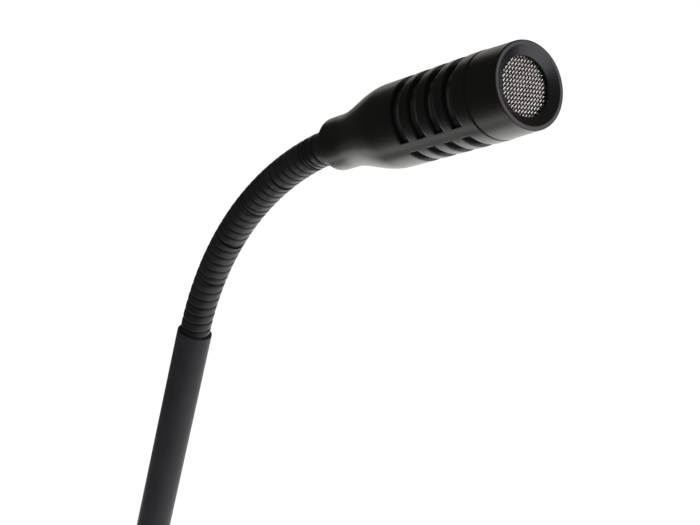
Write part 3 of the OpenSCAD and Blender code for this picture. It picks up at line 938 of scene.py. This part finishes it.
def make_base():
    low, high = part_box("base_housing")
    side = (low, Vector((high.x, low.y + 130 * MM, high.z)))
    front = side[0].y + EDGE_IN
    rear = side[1].y - EDGE_IN
    slope = (REAR_EDGE_Z - FRONT_EDGE_Z) / (rear - front)

    def edge_line(y):
        return FRONT_EDGE_Z + slope * (min(max(y, front), rear) - front)

    def shell(inset):
        rings = [
            (BASE_CORNER, BASE_CORNER - inset - 0.4 * MM, lambda y: low.z),
            (BASE_CORNER, BASE_CORNER - inset, lambda y: low.z + 0.4 * MM),
            (BASE_CORNER, BASE_CORNER - inset, lambda y: SLAB_TOP - 1.5 * MM),
        ]
        for share in (0.15, 0.5, 0.85):
            rings.append((
                BASE_CORNER + (EDGE_IN - BASE_CORNER) * share,
                BASE_CORNER + (EDGE_R - BASE_CORNER) * share - inset,
                lambda y, t=share: SLAB_TOP + (edge_line(y) - SLAB_TOP) * t,
            ))
        steps = 12
        for i in range(steps + 1):
            a = math.pi / 2 * i / steps
            radius = (EDGE_R - inset) * math.cos(a)
            rise = (EDGE_R - inset) * math.sin(a)
            rings.append((EDGE_IN, max(radius, 1e-5), lambda y, h=rise: edge_line(y) + h))
        return rings

    bm = bmesh.new()
    outer = [base_ring(bm, side, *ring) for ring in shell(0)]
    inner = [base_ring(bm, side, *ring) for ring in reversed(shell(BASE_WALL))]
    ring_faces(bm, outer)
    ring_faces(bm, inner)
    bm.faces.new(outer[-1])
    bm.faces.new(inner[0])
    for j in range(len(outer[0])):
        k = (j + 1) % len(outer[0])
        bm.faces.new((outer[0][j], inner[-1][j], inner[-1][k], outer[0][k]))
    piece = finish_mesh(bm, "base_housing_shell", "base_plastic")
    piece.modifiers.clear()
    cut(piece, base_cutters())
    add_bosses(piece)
    piece.data.shade_smooth()
    piece.data.set_sharp_from_angle(angle=SMOOTH_ANGLE)
    weighted = piece.modifiers.new("even_shading", "WEIGHTED_NORMAL")
    weighted.keep_sharp = True
    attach(piece, "stand")
    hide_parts("base_housing")


def cutter(name, radius, low, high, matrix):
    bm = bmesh.new()
    outline = [(0, low), (radius, low), (radius, high), (0, high)]
    add_lathe(bm, outline, 96, closed=False)
    return finish_mesh(bm, name, "base_plastic", matrix, smooth=False)


def base_cutters():
    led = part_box("led_lens")
    backwards = Matrix.Translation(JACK) @ Matrix.Rotation(-math.pi / 2, 4, "X")
    return [
        cutter("cut_button", 11.5 * MM, 17 * MM, 40 * MM, Matrix.Translation((0, BUTTON_Y, 0))),
        cutter("cut_stem", 5.15 * MM, 15 * MM, 40 * MM, Matrix.Identity(4)),
        cutter("cut_led", 2.05 * MM, 17 * MM, 40 * MM, Matrix.Translation((0, (led[0].y + led[1].y) / 2, 0))),
        cutter("cut_jack_pocket", 6.5 * MM, 0, 10 * MM, backwards),
        cutter("cut_jack_nose", 3.2 * MM, -6 * MM, 4 * MM, backwards),
    ]


def add_bosses(piece):
    """Adds the level rings round the button and the tube, and the screw posts inside."""
    bm = bmesh.new()
    bm.from_mesh(piece.data)
    stem = [
        (5.15 * MM, 25 * MM, 0), (12.9 * MM, 25 * MM, 0), (13.6 * MM, 29 * MM, 0.8 * MM),
        (13 * MM, STEM_BOSS_TOP, 0.7 * MM), (5.15 * MM, STEM_BOSS_TOP, 0.2 * MM),
    ]
    button = [
        (11.5 * MM, 21 * MM, 0), (15 * MM, 21 * MM, 0), (15.4 * MM, 25.2 * MM, 0.6 * MM),
        (15 * MM, BUTTON_BOSS_TOP, 0.6 * MM), (11.5 * MM, BUTTON_BOSS_TOP, 0.2 * MM),
    ]
    add_lathe(bm, rounded(stem), 128)
    add_lathe(bm, rounded(button), 128, matrix=Matrix.Translation((0, BUTTON_Y, 0)))
    for x in (-38, 38):
        for y, top in ((-60, 21), (46, 31)):
            post = [(1.3 * MM, 4 * MM), (4 * MM, 4 * MM), (4 * MM, top * MM), (1.3 * MM, top * MM)]
            add_lathe(bm, post, 40, matrix=Matrix.Translation((x * MM, y * MM, 0)))
    for x in (-22, 22):
        for y, top in ((-58, 22), (-20, 25.5)):
            post = [
                (0.95 * MM, 15.6 * MM), (2.5 * MM, 15.6 * MM), (2.5 * MM, top * MM), (0.95 * MM, top * MM),
            ]
            add_lathe(bm, post, 32, matrix=Matrix.Translation((x * MM, y * MM, 0)))
    bmesh.ops.recalc_face_normals(bm, faces=bm.faces)
    bm.to_mesh(piece.data)
    bm.free()


def make_button():
    low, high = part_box("talk_button")
    radius = (high.x - low.x) / 2
    wall = 1.6 * MM
    skirt = low.z + 1.5 * MM
    roof = high.z - 2.5 * MM
    corners = [
        (0, low.z, 0), (3 * MM, low.z, 0), (3 * MM, roof, 0), (radius - wall, roof, 0),
        (radius - wall, skirt, 0),
        (radius, skirt, 0.1 * MM), (radius, high.z, 0.7 * MM), (radius - 2 * MM, high.z, 0.5 * MM),
        (radius - 4.4 * MM, high.z - 0.55 * MM, 3 * MM), (0, high.z - 0.75 * MM, 0),
    ]
    outline = rounded(corners, 8)
    bm = bmesh.new()
    add_lathe(bm, outline, 128, closed=False)
    piece = finish_mesh(bm, "talk_button_cap", "button_plastic", Matrix.Translation((0, BUTTON_Y, 0)))
    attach(piece, "button")
    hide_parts("talk_button")


def make_bezel():
    low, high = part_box("button_bezel")
    bore = 10.35 * MM
    corners = [
        (bore, low.z, 0), (11.5 * MM, low.z, 0), (11.5 * MM, BUTTON_BOSS_TOP, 0),
        (13 * MM, BUTTON_BOSS_TOP, 0.1 * MM),
        (13 * MM, high.z, 0.5 * MM), (bore, high.z, 0.3 * MM),
    ]
    piece = lathe("button_bezel_ring", corners, "black_anodised", Matrix.Translation((0, BUTTON_Y, 0)), 160)
    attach(piece, "stand")
    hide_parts("button_bezel")


def make_lens():
    low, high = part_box("led_lens")
    middle = (low + high) / 2
    outline = [(0, low.z), (2 * MM, low.z), (2 * MM, high.z - 0.7 * MM)]
    outline += [
        (2 * MM * math.cos(a), high.z - 0.7 * MM + 0.7 * MM * math.sin(a))
        for a in (math.pi / 2 * i / 8 for i in range(1, 9))
    ]
    bm = bmesh.new()
    add_lathe(bm, outline, 48, closed=False)
    piece = finish_mesh(bm, "led_lens_dome", "led_red", Matrix.Translation((middle.x, middle.y, 0)))
    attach(piece, "stand")
    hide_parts("led_lens")


def make_jack():
    """The socket's threaded nose on its block. The nut with chamfered corners is made by make_jack_nut."""
    low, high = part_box("output_jack")
    tip = high.y - JACK.y
    body = low.y - JACK.y
    face = 54 * MM - JACK.y
    backwards = Matrix.Translation(JACK) @ Matrix.Rotation(-math.pi / 2, 4, "X")
    bm = bmesh.new()
    bore, nose, root = 1.8 * MM, 3.0 * MM, 2.75 * MM
    outline = [(bore, body + 4 * MM), (root, body + 4 * MM), (root, face)]
    turns = 9
    pitch = (tip - 0.4 * MM - face) / turns
    for i in range(turns):
        outline += [
            (nose, face + (i + 0.35) * pitch), (nose, face + (i + 0.65) * pitch),
            (root, face + (i + 1) * pitch),
        ]
    outline += [(root - 0.1 * MM, tip), (bore + 0.3 * MM, tip), (bore, tip - 0.3 * MM)]
    add_lathe(bm, outline, 96)
    block_low = Vector((-7 * MM, -4 * MM, body))
    block_high = Vector((7 * MM, 4 * MM, face))
    made = bmesh.ops.create_cube(bm, size=1)
    for v in made["verts"]:
        for axis in range(3):
            v.co[axis] = block_high[axis] if v.co[axis] > 0 else block_low[axis]
    edges = {e for v in made["verts"] for e in v.link_edges}
    bmesh.ops.bevel(bm, geom=list(edges), offset=0.4 * MM, segments=2, affect="EDGES")
    piece = finish_mesh(bm, "output_jack_socket", "black_plastic", backwards)
    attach(piece, "stand")
    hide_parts("output_jack")


def make_jack_nut():
    low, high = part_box("jack_nut")
    thick = high.y - low.y
    flat = 4 * MM
    backwards = Matrix.Translation(JACK) @ Matrix.Rotation(-math.pi / 2, 4, "X")
    bm = bmesh.new()
    rings = []
    columns = 96
    for r_limit, z in (
        (0, 0), (flat * 1.02, 0), (9, 0.25 * MM), (9, thick - 0.35 * MM), (flat * 1.02, thick), (0, thick)
    ):
        ring = []
        for j in range(columns):
            a = 2 * math.pi * j / columns
            off = (a + math.pi / 6) % (math.pi / 3) - math.pi / 6
            hexagon = flat / math.cos(off)
            r = 3.02 * MM if r_limit == 0 else min(hexagon, r_limit)
            ring.append(bm.verts.new((r * math.cos(a), r * math.sin(a), z)))
        rings.append(ring)
    ring_faces(bm, rings, closed=True)
    piece = finish_mesh(bm, "jack_nut_hex", "nickel_nut", backwards)
    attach(piece, "stand")
    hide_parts("jack_nut")


# ---- studio ----

STUDIO_FLAT = 2.2
STUDIO_SWEEP = 1.2
STUDIO_WALL = 3.2
STUDIO_GLOW = 1.02
# how far from the object the floor's glow is dimmed by ambient occlusion: the reach of a painted contact
# shadow
PAINTED_SHADOW_REACH = 0.06


def make_studio():
    """A white floor that sweeps up into white walls, which shines evenly, with a painted contact shadow: its
    glow is dimmed by ambient occlusion under the object.
    """
    bm = bmesh.new()
    outline = [(0, 0), (0.3, 0), (1, 0), (STUDIO_FLAT, 0)]
    steps = 12
    for i in range(1, steps + 1):
        a = math.pi / 2 * i / steps
        outline.append((STUDIO_FLAT + STUDIO_SWEEP * math.sin(a), STUDIO_SWEEP * (1 - math.cos(a))))
    outline += [(STUDIO_FLAT + STUDIO_SWEEP, STUDIO_WALL), (0, STUDIO_WALL)]
    add_lathe(bm, outline, 64, closed=False)
    bmesh.ops.remove_doubles(bm, verts=bm.verts, dist=1e-6)
    mesh = bpy.data.meshes.new("studio_sweep")
    bm.to_mesh(mesh)
    bm.free()
    mesh.shade_smooth()
    sweep = bpy.data.objects.new("studio_sweep", mesh)
    bpy.context.scene.collection.objects.link(sweep)
    n = Nodes("studio_white")
    # ambient occlusion lowers the floor's emission near the object: a painted contact shadow, not one cast by
    # a lamp
    painted_shadow_ao = n.add("ShaderNodeAmbientOcclusion", samples=12)
    painted_shadow_ao.inputs["Distance"].default_value = PAINTED_SHADOW_REACH
    glow = n.spread(painted_shadow_ao.outputs["AO"], 0.3, STUDIO_GLOW, 0.0, 1.0)
    n.link(glow, n.shader.inputs["Emission Strength"])
    n.shader.inputs["Emission Color"].default_value = (1, 1, 1, 1)
    n.shader.inputs["Base Color"].default_value = (0, 0, 0, 1)
    n.shader.inputs["Roughness"].default_value = 1
    n.shader.inputs["Specular IOR Level"].default_value = 0
    mesh.materials.append(n.material)
    sweep.visible_glossy = False


def make_world():
    """The dim, warm room that polished surfaces see past the lights."""
    world = bpy.data.worlds.new("studio")
    bpy.context.scene.world = world
    world.use_nodes = True
    back = world.node_tree.nodes["Background"]
    back.inputs["Color"].default_value = (1.0, 0.95, 0.84, 1)
    back.inputs["Strength"].default_value = 0.04


def soft_box(name, place, aim, size, radiance, color=(1, 1, 1), shape="RECTANGLE"):
    """A soft light of the given size and radiance, hidden from the camera."""
    light = bpy.data.lights.new(name, "AREA")
    light.shape = shape
    light.size, light.size_y = size
    area = size[0] * size[1] * (math.pi / 4 if shape == "ELLIPSE" else 1)
    light.energy = radiance * math.pi * area
    light.color = color
    box = bpy.data.objects.new(name, light)
    bpy.context.scene.collection.objects.link(box)
    box.location = place
    box.rotation_euler = (Vector(aim) - Vector(place)).to_track_quat("-Z", "Y").to_euler()
    box.visible_camera = False


def make_lights():
    make_studio()
    make_world()
    head = HEAD @ Vector((0, 0, HEAD_LENGTH / 2))
    front = head + Vector((0.32, -0.86, 0.16)) * 0.9
    soft_box("front_box", front, head, (1.0, 0.55), 2.3, (0.96, 0.96, 1.06))
    side = head + Vector((0.68, -0.49, 0.53)) * 0.9
    soft_box("side_box", side, head, (0.5, 0.5), 1.9, (0.98, 0.98, 1.04))
    back = head + Vector((0.66, 0.72, 0.0)) * 1.3
    soft_box("back_box", back, head, (1.4, 0.6), 0.7, (1, 0.97, 0.9))
    for name, x, y, size, radiance in (
        ("table_near", 0.28, -0.06, 0.82, 1.7),
        ("table_wide", 0.25, -0.02, 0.98, 0.15),
        ("table_far", 0.62, 0.66, 0.8, 0.35),
    ):
        soft_box(name, (x, y, 0.001), (x, y, 1), (size, size), radiance, (1, 1, 0.98), "ELLIPSE")
    bpy.context.scene.view_settings.view_transform = "Standard"


# ---- build ----

make_camera()
dress_cad_nodes()
make_housing()
make_cap()
make_mesh()
make_foam()
make_liner()
make_neck()
make_crimps()
make_cable_ends()
make_tube()
make_collar()
make_base()
make_button()
make_bezel()
make_lens()
make_jack()
make_jack_nut()
make_lights()
